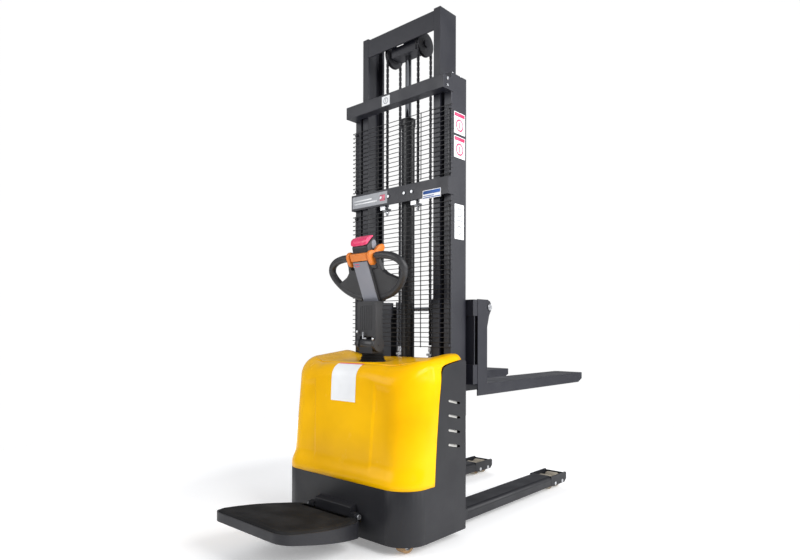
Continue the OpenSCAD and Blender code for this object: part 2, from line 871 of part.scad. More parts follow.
module belly_button() color([0.85, 0.15, 0.3]) place() head_frame() {
    side_profile(-50, 50)
        polygon([[17, 242], [20, 262], [34, 273], [60, 276], [78, 274], [82, 271], [56, 262], [34, 252]]);
    translate([0, 46, 225]) cylinder(r = 7, h = 36);
}

module lift_rocker() color([0.15, 0.3, 0.6]) place() head_frame() {
    box([-23, 42, 98], [23, 56, 134]);
    rod_x(0, 40, 116, 6, 68);
}

module horn_button() color([0.9, 0.6, 0.1]) place() head_frame() {
    rod_y(0, 46, 174, 11, 24);
}

// ---- balance casters ----

module caster_fork(s) {
    y = caster_y - caster_trail;
    translate([s * caster_x, 0, 0]) {
        translate([0, caster_y, 104]) cylinder(r = 36, h = 29);
        box([-32, caster_y - 36, 98], [32, caster_y + 30, 104]);
        for (e = [-1, 1]) side_profile(e * 29.5 - 2.5, e * 29.5 + 2.5)
            polygon([[y - 12, 30], [y + 12, 30], [caster_y + 24, 99], [caster_y - 36, 99]]);
        rod_x(0, y, caster_r, 6, 64);
    }
}

module caster_fork_left() color(steel) place() caster_fork(-1);

module caster_fork_right() color(steel) place() caster_fork(1);

module caster_wheel(s) {
    translate([s * caster_x, 0, 0]) difference() {
        union() {
            rod_x(0, caster_y - caster_trail, caster_r, caster_r, 46);
            rod_x(0, caster_y - caster_trail, caster_r, 14, 52);
        }
        rod_x(0, caster_y - caster_trail, caster_r, 6 + fit, 70);
    }
}

module caster_wheel_left() color([0.55, 0.33, 0.16]) place() caster_wheel(-1);

module caster_wheel_right() color([0.55, 0.33, 0.16]) place() caster_wheel(1);

chassis_frame();
rear_cover();
mast_base();
outer_column_left();
outer_column_right();
top_beam();
mid_beam();
lower_beam();
mesh_guard();
lift_cylinder();
chain_anchors();
leg_left();
leg_right();
load_axles();
batteries();
power_pack();
platform_bracket();
platform_pin();
beam_bolts();
inner_column_left();
inner_column_right();
inner_beams();
pulley_bracket();
piston_rod();
rear_chains();
front_chains();
pulley_left();
pulley_right();
mast_rollers();
carriage_rollers_top();
carriage_rollers_low();
carriage_frame();
fork_shaft();
fork_left();
fork_right();
carriage_anchors();
drive_housing();
drive_motor();
steering_yoke();
tiller_boot();
drive_wheel();
tiller_arm();
tiller_head();
grip_loops();
head_plate();
throttle_collar();
throttle();
belly_button();
lift_rocker();
horn_button();
caster_fork_left();
caster_fork_right();
caster_wheel_left();
caster_wheel_right();
load_wheel_fl();
load_wheel_fr();
load_wheel_rl();
load_wheel_rr();
platform();
platform_mat();
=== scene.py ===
"""Looks of the walkie stacker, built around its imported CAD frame. Metres, +Z up, forks towards +Y."""
import json
import math
import random

import bmesh
import bpy
from mathutils import Matrix, Vector


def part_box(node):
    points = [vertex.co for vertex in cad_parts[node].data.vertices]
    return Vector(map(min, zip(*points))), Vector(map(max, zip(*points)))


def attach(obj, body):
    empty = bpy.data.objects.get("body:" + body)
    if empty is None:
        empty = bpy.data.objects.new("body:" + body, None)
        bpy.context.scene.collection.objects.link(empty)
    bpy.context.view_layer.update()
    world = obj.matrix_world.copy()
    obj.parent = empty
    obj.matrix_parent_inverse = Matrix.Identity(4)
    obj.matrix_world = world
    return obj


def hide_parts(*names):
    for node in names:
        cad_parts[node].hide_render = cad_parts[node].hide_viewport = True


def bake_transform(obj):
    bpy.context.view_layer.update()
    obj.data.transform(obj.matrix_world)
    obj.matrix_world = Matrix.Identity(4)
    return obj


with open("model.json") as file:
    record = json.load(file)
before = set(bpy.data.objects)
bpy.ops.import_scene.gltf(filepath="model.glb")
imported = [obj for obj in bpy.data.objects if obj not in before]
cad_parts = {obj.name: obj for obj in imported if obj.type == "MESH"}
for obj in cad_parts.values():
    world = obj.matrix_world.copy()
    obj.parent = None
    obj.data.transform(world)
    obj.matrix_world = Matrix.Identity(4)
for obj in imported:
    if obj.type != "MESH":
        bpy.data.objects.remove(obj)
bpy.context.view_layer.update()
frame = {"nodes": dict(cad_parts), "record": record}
NODES = frame["nodes"]
JOINTS = {j["name"]: j for j in frame["record"]["behaviour"]["joints"]}

# Every piece gets a material of its own below
for imported in list(bpy.data.materials):
    bpy.data.materials.remove(imported)


# ---- places of CAD nodes ----

def lo(node):
    """Lowest corner of a node's box."""
    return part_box(node)[0]


def hi(node):
    """Highest corner of a node's box."""
    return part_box(node)[1]


def mid(node):
    """Centre of a node's box."""
    low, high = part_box(node)
    return (Vector(low) + Vector(high)) / 2


def reach(node, y):
    """Largest distance of a CAD node's outline from the centre plane at depth y."""
    mesh = NODES[node].data
    widest = 0.0
    for edge in mesh.edges:
        a, b = (mesh.vertices[i].co for i in edge.vertices)
        if a.y != b.y and (a.y - y) * (b.y - y) <= 0:
            widest = max(widest, abs(lerp(a.x, b.x, (y - a.y) / (b.y - a.y))))
    return widest


# ---- numbers and curves ----

def lerp(a, b, t):
    """Value at share t of the way from a to b."""
    return a + (b - a) * t


def ease(t):
    """Smooth step from 0 to 1, and flat beyond them."""
    t = min(1.0, max(0.0, t))
    return t * t * (3 - 2 * t)


def share(z, start, length):
    """Share of the way from start over length, kept between 0 and 1."""
    return min(1.0, max(0.0, (z - start) / length))


def spline(points, steps, closed=False):
    """Catmull-Rom curve through points, which are tuples or vectors of any size."""
    pts = [Vector(p) for p in points]
    last = len(pts) - 1
    curve = []
    for i in range(last + 1 if closed else last):
        near = [i + k if closed else min(max(i + k, 0), last) for k in (-1, 0, 1, 2)]
        a, b, c, d = (pts[k % (last + 1)] for k in near)
        for k in range(steps):
            t = k / steps
            curve.append(0.5 * (2 * b + (c - a) * t + (2 * a - 5 * b + 4 * c - d) * t ** 2
                                + (3 * b - a - 3 * c + d) * t ** 3))
    if not closed:
        curve.append(pts[-1])
    return curve


def rounded_rect(half_a, half_b, radius, steps=6):
    """Outline of a rectangle with round corners, centred on zero."""
    points = []
    for k, (sa, sb) in enumerate(((1, 1), (-1, 1), (-1, -1), (1, -1))):
        for i in range(steps + 1):
            a = math.radians(90 * k + 90 * i / steps)
            points.append((sa * (half_a - radius) + radius * math.cos(a),
                           sb * (half_b - radius) + radius * math.sin(a)))
    return points


def shrunk(outline, inset):
    """Closed outline with every corner moved inwards. The outline runs counter-clockwise."""
    moved = []
    for i, p in enumerate(outline):
        a = Vector(p) - Vector(outline[i - 1])
        b = Vector(outline[(i + 1) % len(outline)]) - Vector(p)
        na, nb = (Vector((-v.y, v.x)).normalized() for v in (a, b))
        moved.append(Vector(p) + (na + nb) * inset / (1 + na.dot(nb)))
    return moved


# ---- mesh helpers ----

# Radius at which a turned shape closes on its axis
TIP = 0.0001


def grid_faces(bm, rows, close=False):
    """Quads between rows of vertices. close joins each row's end to its start."""
    for low, high in zip(rows, rows[1:]):
        count = len(low)
        for i in range(count if close else count - 1):
            k = (i + 1) % count
            bm.faces.new((low[i], low[k], high[k], high[i]))


def add_mesh(name, bm, material, angle=40):
    """Turns a bmesh into an object, smooth except at edges sharper than angle."""
    bmesh.ops.recalc_face_normals(bm, faces=bm.faces)
    mesh = bpy.data.meshes.new(name)
    bm.to_mesh(mesh)
    bm.free()
    mesh.materials.append(material)
    mesh.shade_smooth()
    mesh.set_sharp_from_angle(angle=math.radians(angle))
    obj = bpy.data.objects.new(name, mesh)
    bpy.context.collection.objects.link(obj)
    return obj


def bevel(obj, width, segments=2):
    """Rounds the edges that are sharper than 35 degrees."""
    made = obj.modifiers.new("edges", "BEVEL")
    made.width = width
    made.segments = segments
    made.limit_method = "ANGLE"
    made.angle_limit = math.radians(35)
    made.harden_normals = True


def piece(name, bm, material, body, replaced=(), angle=40, edges=0.0, segments=2):
    """Makes one piece of the object. A piece made without a body is left unattached."""
    obj = add_mesh(name, bm, material, angle)
    if edges:
        bevel(obj, edges, segments)
    if body:
        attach(obj, body)
    if replaced:
        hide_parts(*replaced)
    return obj


def lathe(bm, profile, centre, axis, sides):
    """Surface of revolution from (radius, distance along axis) points, with a cap at both ends."""
    turn = Vector((0, 0, 1)).rotation_difference(Vector(axis)).to_matrix()
    rows = []
    for radius, along in profile:
        ring = []
        for i in range(sides):
            a = 2 * math.pi * i / sides
            local = Vector((radius * math.cos(a), radius * math.sin(a), along))
            ring.append(bm.verts.new(Vector(centre) + turn @ local))
        rows.append(ring)
    grid_faces(bm, rows, close=True)
    bm.faces.new(rows[0])
    bm.faces.new(rows[-1])


def lathe_ring(bm, profile, centre, axis, sides):
    """Ring turned from a closed profile. The lathe's cap stays at the profile's first point."""
    lathe(bm, profile + [profile[0]], centre, axis, sides)
    bmesh.ops.remove_doubles(bm, verts=bm.verts, dist=1e-6)


def loft(bm, rings):
    """Closed solid through rings that have the same number of points."""
    rows = [[bm.verts.new(p) for p in ring] for ring in rings]
    grid_faces(bm, rows, close=True)
    bm.faces.new(rows[0])
    bm.faces.new(rows[-1])


def prism(bm, outline, place, depth):
    """Closed prism over an outline of (a, b) points. place turns (a, b, distance) into a point."""
    loft(bm, [[place(a, b, d) for a, b in outline] for d in (0, depth)])


def block(bm, low, high):
    """Box between two corners."""
    low, high = Vector(low), Vector(high)
    matrix = Matrix.Translation((low + high) / 2) @ Matrix.Diagonal((*(high - low), 1))
    bmesh.ops.create_cube(bm, size=1, matrix=matrix)


def tube(bm, points, radius, sides):
    """Round bar along points. radius is a number or a function of 0..1 along the bar."""
    last = len(points) - 1
    rows = []
    side = None
    for i, p in enumerate(points):
        along = (points[min(i + 1, last)] - points[max(i - 1, 0)]).normalized()
        if side is None:
            side = along.orthogonal().normalized()
        side = (side - along * side.dot(along)).normalized()
        other = along.cross(side)
        r = radius(i / last) if callable(radius) else radius
        rows.append([p + (side * math.cos(a) + other * math.sin(a)) * r
                     for a in (2 * math.pi * k / sides for k in range(sides))])
    loft(bm, rows)


def cut_below(bm, height):
    """Removes what lies below a level and closes the cut."""
    geom = bm.verts[:] + bm.edges[:] + bm.faces[:]
    cut = bmesh.ops.bisect_plane(bm, geom=geom, plane_co=(0, 0, height), plane_no=(0, 0, -1),
                                 clear_outer=True)
    edges = [e for e in cut["geom_cut"] if isinstance(e, bmesh.types.BMEdge)]
    bmesh.ops.edgeloop_fill(bm, edges=edges)


def cut_round_hole(bm, centre, radius):
    """Opens the faces near centre that lie within radius of its vertical axis."""
    middles = {f: f.calc_center_median() - centre for f in bm.faces}
    inside = [f for f, m in middles.items() if m.xy.length < radius and m.z > -0.05]
    bmesh.ops.delete(bm, geom=inside, context="FACES")


# ---- materials ----

class Graph:
    """A node material under construction."""

    def __init__(self, name, color, rough, metal=0.0, **sockets):
        self.mat = bpy.data.materials.new(name)
        self.mat.use_nodes = True
        self.nodes = self.mat.node_tree.nodes
        self.links = self.mat.node_tree.links
        self.shader = self.nodes["Principled BSDF"]
        self.shader.inputs["Base Color"].default_value = (*color, 1)
        self.shader.inputs["Roughness"].default_value = rough
        self.shader.inputs["Metallic"].default_value = metal
        for key, value in sockets.items():
            self.shader.inputs[key.replace("_", " ")].default_value = value
        self.coords = self.nodes.new("ShaderNodeTexCoord")

    def node(self, kind, **values):
        """New node with the given inputs or settings."""
        made = self.nodes.new(kind)
        for key, value in values.items():
            if key in made.inputs:
                made.inputs[key].default_value = value
            else:
                setattr(made, key, value)
        return made

    def stretched(self, scale):
        """Object coordinates scaled along each axis."""
        mapping = self.nodes.new("ShaderNodeMapping")
        mapping.inputs["Scale"].default_value = scale
        self.links.new(self.coords.outputs["Object"], mapping.inputs["Vector"])
        return mapping.outputs["Vector"]

    def noise(self, scale, detail, vector=None):
        made = self.node("ShaderNodeTexNoise", Scale=scale, Detail=detail)
        self.links.new(vector or self.coords.outputs["Object"], made.inputs["Vector"])
        return made.outputs["Fac"]

    def ramp(self, source, low, high, a, b):
        """Maps source from low..high onto a..b, which are colours or numbers."""
        if isinstance(a, (int, float)):
            made = self.node("ShaderNodeMapRange")
            for key, value in zip(("From Min", "From Max", "To Min", "To Max"), (low, high, a, b)):
                made.inputs[key].default_value = value
            self.links.new(source, made.inputs["Value"])
            return made.outputs["Result"]
        made = self.node("ShaderNodeValToRGB")
        made.color_ramp.elements[0].position = low
        made.color_ramp.elements[1].position = high
        made.color_ramp.elements[0].color = (*a, 1)
        made.color_ramp.elements[1].color = (*b, 1)
        self.links.new(source, made.inputs["Fac"])
        return made.outputs["Color"]

    def set(self, socket, output):
        """Drives a socket of the shader with a node's output."""
        self.links.new(output, self.shader.inputs[socket])

    def bump(self, height, strength, distance):
        """Adds small relief to the surface."""
        made = self.node("ShaderNodeBump", Strength=strength, Distance=distance)
        self.links.new(height, made.inputs["Height"])
        self.set("Normal", made.outputs["Normal"])


def painted(name, color, rough, peel=0.12, dust=0.09, shine=0.5):
    """Sprayed paint: orange peel, faint dust and tone changes."""
    g = Graph(name, color, rough, Specular_IOR_Level=shine)
    lighter = tuple(min(1, c * 1.2 + 0.001) for c in color)
    darker = tuple(c * 0.85 for c in color)
    g.set("Base Color", g.ramp(g.noise(3.0, 4), 0.3, 0.75, darker, lighter))
    g.set("Roughness", g.ramp(g.noise(9.0, 5), 0.3, 0.7, rough - 0.07, rough + dust))
    g.bump(g.noise(420, 2), peel, 0.0006)
    return g.mat


def plastic(name, color, rough, grain=0.2, scale=900):
    """Moulded plastic with a fine spark-eroded grain."""
    g = Graph(name, color, rough)
    lighter = tuple(min(1, c * 1.15 + 0.006) for c in color)
    g.set("Base Color", g.ramp(g.noise(6, 3), 0.35, 0.7, color, lighter))
    g.set("Roughness", g.ramp(g.noise(14, 3), 0.3, 0.7, rough - 0.06, rough + 0.08))
    g.bump(g.noise(scale, 2), grain, 0.0004)
    return g.mat


def steel(name, color, rough, streak=(1, 1, 1)):
    """Bare or plated steel with fine streaks along one direction."""
    g = Graph(name, color, rough, metal=1.0)
    lines = g.noise(160, 4, g.stretched(streak))
    g.set("Roughness", g.ramp(lines, 0.3, 0.7, rough - 0.08, rough + 0.12))
    darker = tuple(c * 0.75 for c in color)
    g.set("Base Color", g.ramp(g.noise(12, 5), 0.3, 0.65, darker, color))
    g.bump(lines, 0.08, 0.0004)
    return g.mat


def rubber(name, color, rough, shine=0.5):
    """Matt rubber with a fine grain."""
    g = Graph(name, color, rough, Specular_IOR_Level=shine)
    lighter = tuple(c * 1.6 + 0.01 for c in color)
    g.set("Base Color", g.ramp(g.noise(10, 6), 0.4, 0.75, color, lighter))
    g.bump(g.noise(600, 3), 0.35, 0.0005)
    return g.mat


# Looks that only CAD nodes have, found by their slot's name
painted("chassis_paint", (0.0105, 0.0107, 0.0135), 0.46, shine=0.38)
painted("sheave", (0.022, 0.022, 0.026), 0.38)
painted("pump_grey", (0.30, 0.32, 0.34), 0.45)
steel("chrome_rod", (0.50, 0.51, 0.53), 0.12, (1, 1, 0.05))
plastic("battery_case", (0.02, 0.02, 0.024), 0.5, 0.3, 500)

# Looks that the pieces below share
MAST = painted("mast_paint", (0.0115, 0.0120, 0.0180), 0.42)
YELLOW = painted("cover_yellow", (0.90, 0.455, 0.0), 0.24, peel=0.05, dust=0.05, shine=0.12)
ZINC = steel("zinc", (0.62, 0.63, 0.65), 0.32)
CHAIN = steel("chain_steel", (0.06, 0.06, 0.065), 0.45)
BLACK_STEEL = painted("cylinder_black", (0.012, 0.012, 0.014), 0.35)
MOTOR = painted("motor_grey", (0.09, 0.095, 0.10), 0.45)
BLACK = plastic("black_plastic", (0.016, 0.016, 0.018), 0.46)
PLATE_GREY = plastic("grey_plate", (0.20, 0.205, 0.235), 0.42)
ORANGE = plastic("orange_plastic", (0.66, 0.185, 0.020), 0.38, 0.08)
RED = plastic("red_plastic", (0.72, 0.035, 0.13), 0.32, 0.06)
BLUE = plastic("blue_plastic", (0.03, 0.10, 0.35), 0.4)
RUBBER = rubber("rubber_black", (0.007, 0.007, 0.0075), 0.72, shine=0.2)
TREAD = rubber("polyurethane", (0.16, 0.035, 0.018), 0.5)
WHEEL_GREY = plastic("wheel_grey", (0.26, 0.23, 0.18), 0.5)
WHEEL_BROWN = plastic("wheel_brown", (0.34, 0.20, 0.085), 0.42)
# Pale louvre colour: a painted highlight for the lit lips of the side louvres
LOUVRE_HIGHLIGHT = painted("louvre_pale", (0.62, 0.61, 0.58), 0.4)
LABEL_WHITE = plastic("label_white", (0.80, 0.81, 0.82), 0.35, 0.03)
LABEL_GREY = plastic("label_grey", (0.30, 0.31, 0.33), 0.35, 0.03)
LABEL_PINK = plastic("label_pink", (0.62, 0.16, 0.22), 0.35, 0.03)

# Bevel widths of CAD nodes. The others have SMALL_EDGE
SMALL_EDGE = 0.0008
EDGE = {"chassis_frame": 0.0012, "outer_column_left": 0.0022, "outer_column_right": 0.0022,
        "inner_column_left": 0.0022, "inner_column_right": 0.0022, "top_beam": 0.0025,
        "mid_beam": 0.0012, "lower_beam": 0.002, "mast_base": 0.002, "carriage_frame": 0.0018,
        "fork_left": 0.0018, "fork_right": 0.0018, "platform": 0.0018,
        "platform_bracket": 0.0015, "tiller_arm": 0.0007}


def dress_cad_nodes():
    """Gives every CAD node its material and rounds its hard edges."""
    for part in frame["record"]["subparts"]:
        obj = NODES[part["node"]]
        obj.data.materials.clear()
        obj.data.materials.append(bpy.data.materials[part["material_slot"]])
        obj.modifiers.new("joined", "WELD").merge_threshold = 1e-5
        flat = obj.modifiers.new("flat", "DECIMATE")
        flat.decimate_type = "DISSOLVE"
        flat.angle_limit = math.radians(1)
        bevel(obj, EDGE.get(part["node"], SMALL_EDGE))


# ---- rear cover ----

# Depths on the cover are measured from FRONT, the front of the chassis
FRONT = hi("chassis_frame")[1]
WIDE = hi("chassis_frame")[0]
BACK_Y = lo("rear_cover")[1] - FRONT
STEER_Y = -0.18
COVER_LOW = lo("rear_cover")[2]
# (depth, height) of the seam between the cover and the side panels, from the bottom up
SEAM = [(-0.218, COVER_LOW), (-0.212, 0.362), (-0.204, 0.459), (-0.190, 0.604), (-0.176, 0.702),
        (-0.171, 0.738), (-0.160, 0.756), (-0.140, 0.765), (-0.101, 0.773), (-0.020, 0.785)]
SKIRT_Z = 0.285
LEAN_Z = 0.33
LEAN_RUN = 0.36
SHOULDER_Z = 0.69
RIM_Z = 0.76
SEAT_Z = 0.767
WALL_STEPS = 26
RIM_STEPS = 12


def back_taper(z):
    """How far the rear wall leans in at height z: a skirt step, a slow lean and a rounded shoulder."""
    skirt = 0.016 * ease((z - SKIRT_Z) / 0.06)
    lean = 0.017 * share(z, LEAN_Z, LEAN_RUN)
    return skirt + lean + 0.026 * ease((z - SHOULDER_Z) / 0.11)


def corner_radius(z):
    """Plan radius of the rear corners at height z."""
    return 0.120 + 0.012 * ease((z - SKIRT_Z) / 0.06) + 0.032 * share(z, LEAN_Z, LEAN_RUN)


def rim_radius(u):
    """Radius of the rounded rim: small along the sides, large round the rear corners."""
    return 0.040 + 0.022 * ease(u - 1) + 0.030 * ease(1 - abs(u - 1.7) / 0.8)


def roof_height(x, y):
    """Height of the cover's roof: shoulders that rise forwards, a tray and the seat of the boot."""
    shoulder = 0.768 + 0.1214 * (y + 0.360)
    across = 1 - ease((abs(x) - 0.19) / 0.15)
    deep = lerp(0.004, 0.023, ease((y + 0.318) / 0.070))
    seat = 1 - ease((math.hypot(x, y - STEER_Y) - 0.066) / 0.02)
    return lerp(shoulder - deep * across, SEAT_Z, seat)


def seam_point(u):
    """Depth and height of the seam at share u of its points, counted from its top."""
    place = u * (len(SEAM) - 1)
    i = min(int(place), len(SEAM) - 2)
    upper, lower = SEAM[-1 - i], SEAM[-2 - i]
    return [lerp(a, b, place - i) for a, b in zip(upper, lower)]


def wall_point(u, z, inset):
    """Point of the cover's plan at height z.

    u runs from 0 to 1 along the side, to 2 round the corner and to 3 at the centre of the rear.
    """
    half = WIDE - 0.012 * ease((z - SHOULDER_Z) / 0.10) - inset
    back = BACK_Y + back_taper(z) + inset
    r = corner_radius(z) - inset
    start = SEAM[0][0]
    if u <= 1:
        return Vector((half, seam_point(u)[0]))
    first = math.asin(max(0.0, back + r - start) / r)
    straight = max(0.0, start - back - r)
    arc = r * (math.pi / 2 - first)
    if u <= 2:
        run = (u - 1) * (straight + arc)
        if run < straight:
            return Vector((half, start - run))
        a = first + (run - straight) / r
        return Vector((half - r + r * math.cos(a), back + r - r * math.sin(a)))
    return Vector(((half - r) * (3 - u), back))


def panel_step(x, z):
    """How far the wall is set in beside the raised centre panel."""
    edge = 0.170 + 0.045 * (z - 0.32)
    beside = ease((abs(x) - edge) / 0.012) * (1 - ease((abs(x) - 0.240) / 0.080))
    return 0.006 * beside * ease((z - 0.315) / 0.03) * (1 - ease((z - 0.66) / 0.06))


def cover_column(u, side):
    """One vertical run of the outer surface, from the lower edge over the rounded rim."""
    foot = seam_point(u)[1] if u < 1 else COVER_LOW
    r = rim_radius(u)
    inner = wall_point(u, RIM_Z, r)
    edge = roof_height(inner[0], inner[1])
    top = max(edge - r, foot + 0.0015)
    first = math.asin(min(1.0, (top - edge + r) / r))
    run = []
    for i in range(WALL_STEPS):
        z = lerp(foot, top, i / WALL_STEPS)
        p = wall_point(u, z, 0)
        step = panel_step(p[0], z) if u > 1.5 else 0
        run.append(Vector((side * p[0], FRONT + p[1] + step, z)))
    for i in range(RIM_STEPS + 1):
        a = lerp(first, math.pi / 2, i / RIM_STEPS)
        p = wall_point(u, edge - r, r * (1 - math.cos(a)))
        run.append(Vector((side * p[0], FRONT + p[1], edge - r + r * math.sin(a))))
    return run


def cover_columns():
    """Places (u, side) of the cover's vertical runs, and how many reach the middle of a corner."""
    sides = [i / 27 for i in range(27)]
    corner = [1 + i / 20 for i in range(20)]
    back = [2 + 0.025 * i for i in range(6)] + [2.15 + 0.0125 * i for i in range(20)]
    back += [2.40 + 0.05 * i for i in range(13)]
    half = sides + corner + back
    columns = [(u, 1) for u in half] + [(u, -1) for u in reversed(half[:-1])]
    return columns, len(sides) + len(corner) // 2


def add_roof(bm, rim, split):
    """Grid of faces inside the rim. Its rear corners are the rim's vertices number split."""
    rows = split + 1
    across = len(rim) - 2 * split
    right = [v.co for v in rim[:rows]]
    back = [v.co for v in rim[split:split + across]]
    left = [v.co for v in reversed(rim[len(rim) - rows:])]
    front = [right[0].lerp(left[0], i / (across - 1)) for i in range(across)]
    roof = []
    for j in range(rows - 1):
        t = j / (rows - 1)
        line = [rim[j]]
        for i in range(1, across - 1):
            s = i / (across - 1)
            ruled = right[j].lerp(left[j], s) + front[i].lerp(back[i], t)
            corners = front[0].lerp(front[-1], s).lerp(back[0].lerp(back[-1], s), t)
            p = ruled - corners
            line.append(bm.verts.new((p.x, p.y, roof_height(p.x, p.y - FRONT))))
        roof.append(line + [rim[len(rim) - 1 - j]])
    grid_faces(bm, roof + [rim[split:split + across]])


def make_cover():
    """Moulded cover: walls and rim in vertical runs, then the roof with its hole for the boot."""
    columns, split = cover_columns()
    bm = bmesh.new()
    walls = [[bm.verts.new(p) for p in cover_column(u, side)] for u, side in columns]
    grid_faces(bm, walls)
    add_roof(bm, [column[-1] for column in walls], split)
    cut_round_hole(bm, Vector((0, FRONT + STEER_Y, SEAT_Z)), 0.045)
    cover = piece("cover_shell", bm, YELLOW, "truck", ["rear_cover"], 60)
    made = cover.modifiers.new("thickness", "SOLIDIFY")
    made.thickness = 0.004
    made.offset = -1


# ---- tiller head, drawn in its own frame of width, depth and height ----

HEAD_UP = -Vector(JOINTS["belly_press"]["axis"])
HEAD_DEPTH = -Vector(JOINTS["horn_press"]["axis"])
SHAFT_DEPTH = 0.042
SHAFT_UP = 0.195
HEAD_FOOT = (Vector(JOINTS["throttle_turn"]["pos_m"]) - HEAD_DEPTH * SHAFT_DEPTH
             - HEAD_UP * SHAFT_UP)
# Height at which the head and its trim are cut off above the arm
HEAD_LOW = hi("tiller_arm")[2] + 0.0004
HEAD_HALF = 0.050
PLATE_HALF = 0.046


def head_point(x, depth, up):
    """Point of the truck's frame for a place in the head's own frame."""
    return HEAD_FOOT + Vector((x, 0, 0)) + HEAD_DEPTH * depth + HEAD_UP * up


def make_head_body():
    """Body of the tiller head: a rounded block that widens backwards and ends in a sloping top."""
    levels = [(-0.034, 0.003, 0.044), (0.060, 0.003, 0.046), (0.120, 0.003, 0.051),
              (0.160, 0.003, 0.057), (0.178, 0.004, 0.066), (0.196, 0.009, 0.076),
              (0.214, 0.014, 0.082), (0.232, 0.016, 0.086)]
    slope = 0.030 / 0.066
    rings = []
    for up, front, back in levels:
        half = (back - front) / 2
        ring = rounded_rect(HEAD_HALF, half, min(0.012, half * 0.6))
        rings.append([head_point(x, front + half + d, up) for x, d in ring])
    front, back = levels[-1][1:]
    half = (back - front) / 2
    for inset, lift in ((0.0, 0.004), (0.002, 0.008), (0.006, 0.011), (0.014, 0.012)):
        ring = rounded_rect(HEAD_HALF - inset, half - inset, 0.012)
        rings.append([head_point(x, front + half + d, 0.228 + lift + slope * (half + d))
                      for x, d in ring])
    bm = bmesh.new()
    loft(bm, rings)
    cut_below(bm, HEAD_LOW)
    piece("head_shell", bm, BLACK, "tiller", ["tiller_head"], 50)


def make_loop_handle():
    """Two round grips and the web that joins them to the head."""
    path = [(0.086, 0.188), (0.112, 0.189), (0.140, 0.187), (0.180, 0.178), (0.214, 0.158),
            (0.229, 0.130), (0.222, 0.100), (0.203, 0.072), (0.180, 0.048), (0.150, 0.026),
            (0.110, 0.008), (0.062, -0.004)]
    web = [(0.046, -0.040), (0.075, -0.012), (0.112, 0.000), (0.150, 0.020), (0.182, 0.048),
           (0.200, 0.070), (0.186, 0.078), (0.160, 0.088), (0.130, 0.102), (0.108, 0.122),
           (0.101, 0.150), (0.100, 0.188), (0.086, 0.188), (0.085, 0.134), (0.046, 0.130)]
    bm = bmesh.new()
    for side in (-1, 1):
        curve = spline([(side * x, 0.025, up) for x, up in path], 5)
        tube(bm, [head_point(*p) for p in curve], 0.0172, 18)
    cut_below(bm, HEAD_LOW)
    piece("grip_tubes", bm, BLACK, "tiller", ["grip_loops"], 50)
    bm = bmesh.new()
    for side in (-1, 1):
        outline = [(side * x, up) for x, up in web]
        prism(bm, outline, lambda a, b, d: head_point(a, 0.013 + d, b), 0.024)
    cut_below(bm, HEAD_LOW)
    piece("grip_web", bm, BLACK, "tiller", angle=30, edges=0.004, segments=3)


def make_front_plate():
    """Grey plate with a crowned face, on the operator's side of the head."""
    low, high, back = -0.034, 0.1735, 0.0028
    bm = bmesh.new()
    rows = []
    for i in range(17):
        x = lerp(-PLATE_HALF, PLATE_HALF, i / 16)
        face = -0.0015 - 0.0035 * (1 - (x / PLATE_HALF) ** 2)
        rows.append([bm.verts.new(head_point(x, face, up)) for up in (low, 0.02, 0.08, 0.14, high)])
    left, right = ([bm.verts.new(head_point(x, back, up)) for up in (low, high)]
                   for x in (-PLATE_HALF, PLATE_HALF))
    grid_faces(bm, rows)
    bm.faces.new(rows[0] + [left[1], left[0]])
    bm.faces.new(rows[-1] + [right[1], right[0]])
    bm.faces.new([r[-1] for r in rows] + [right[1], left[1]])
    bm.faces.new([r[0] for r in rows] + [right[0], left[0]])
    bm.faces.new([left[0], left[1], right[1], right[0]])
    cut_below(bm, HEAD_LOW)
    piece("grey_front_plate", bm, PLATE_GREY, "tiller", ["head_plate"], 35, 0.0012)


def make_status_bars():
    """Two short red bars on the grey plate."""
    bm = bmesh.new()
    for up in (0.152, 0.162):
        prism(bm, [(-0.034, up), (-0.004, up), (-0.004, up + 0.003), (-0.034, up + 0.003)],
              lambda a, b, d: head_point(a, -0.0052 + d, b), 0.002)
    piece("status_bars", bm, RED, "tiller", edges=0.0005)


def make_collar():
    """Orange collar that wraps round the front of the head."""
    bm = bmesh.new()
    rings = []
    for up, front in ((0.177, 0.0042), (0.190, 0.0075), (0.200, 0.0105), (0.211, 0.0136)):
        right = [(0.050, -0.005), (0.056, 0.002), (0.056, 0.024), (0.0506, 0.024),
                 (0.0506, front + 0.006), (0.044, front - 0.0008)]
        outer, inner = right[:3], right[3:]
        outline = [(-x, d) for x, d in reversed(outer)] + outer + inner
        outline += [(-x, d) for x, d in reversed(inner)]
        rings.append([head_point(x, d, up) for x, d in outline])
    loft(bm, rings)
    piece("orange_collar", bm, ORANGE, "tiller", ["throttle_collar"], 30, 0.0022, 3)


def make_cheeks():
    """Grey pads on both sides of the head, behind the paddles."""
    outline = spline([(0.050, 0.218), (0.052, 0.240), (0.064, 0.252), (0.078, 0.250),
                      (0.080, 0.232), (0.072, 0.218)], 4, closed=True)
    bm = bmesh.new()
    for side in (-1, 1):
        prism(bm, outline, lambda a, b, d: head_point(side * (HEAD_HALF - 0.001 + d), a, b), 0.003)
    piece("side_cheeks", bm, PLATE_GREY, "tiller", angle=30, edges=0.0009)


